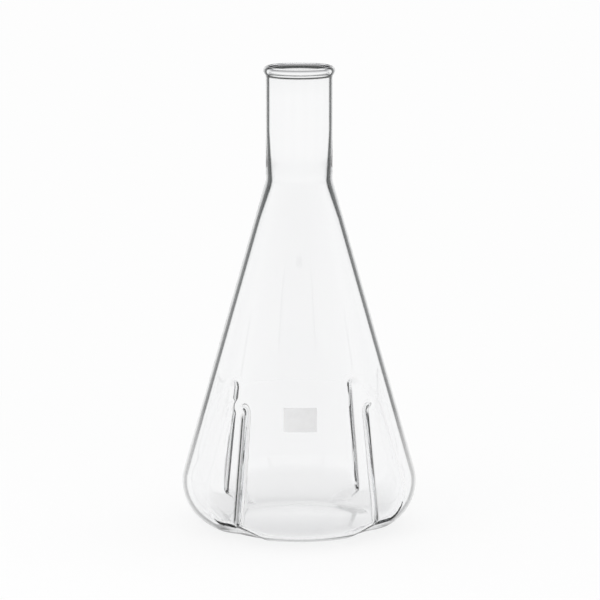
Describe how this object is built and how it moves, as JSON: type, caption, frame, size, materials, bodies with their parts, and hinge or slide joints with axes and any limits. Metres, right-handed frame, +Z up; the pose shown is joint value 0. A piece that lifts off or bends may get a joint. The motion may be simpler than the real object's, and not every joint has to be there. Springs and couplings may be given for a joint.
{
  "type": "trypsinising flask",
  "caption": "Tall conical blown-glass culture flask with a beaded straight neck, deep vertical creases pressed into the lower wall and a small enamel field for notes.",
  "frame": {"origin": "middle of the foot, on the surface the flask stands on", "axes": "+Z up along the flask's own axis through the neck; the enamel field faces -Y; the four creases lie 50.5 degrees from +X and every quarter turn from there"},
  "size_m": [0.135, 0.135, 0.266],
  "materials": {
    "borosilicate_glass": "clear colourless blown glass, fire polished",
    "white_enamel": "fired white enamel, matt enough to take pencil"
  },
  "bodies": {
    "root": {"glass_flask": "borosilicate_glass", "enamel_field": "white_enamel"}
  },
  "joints": []
}
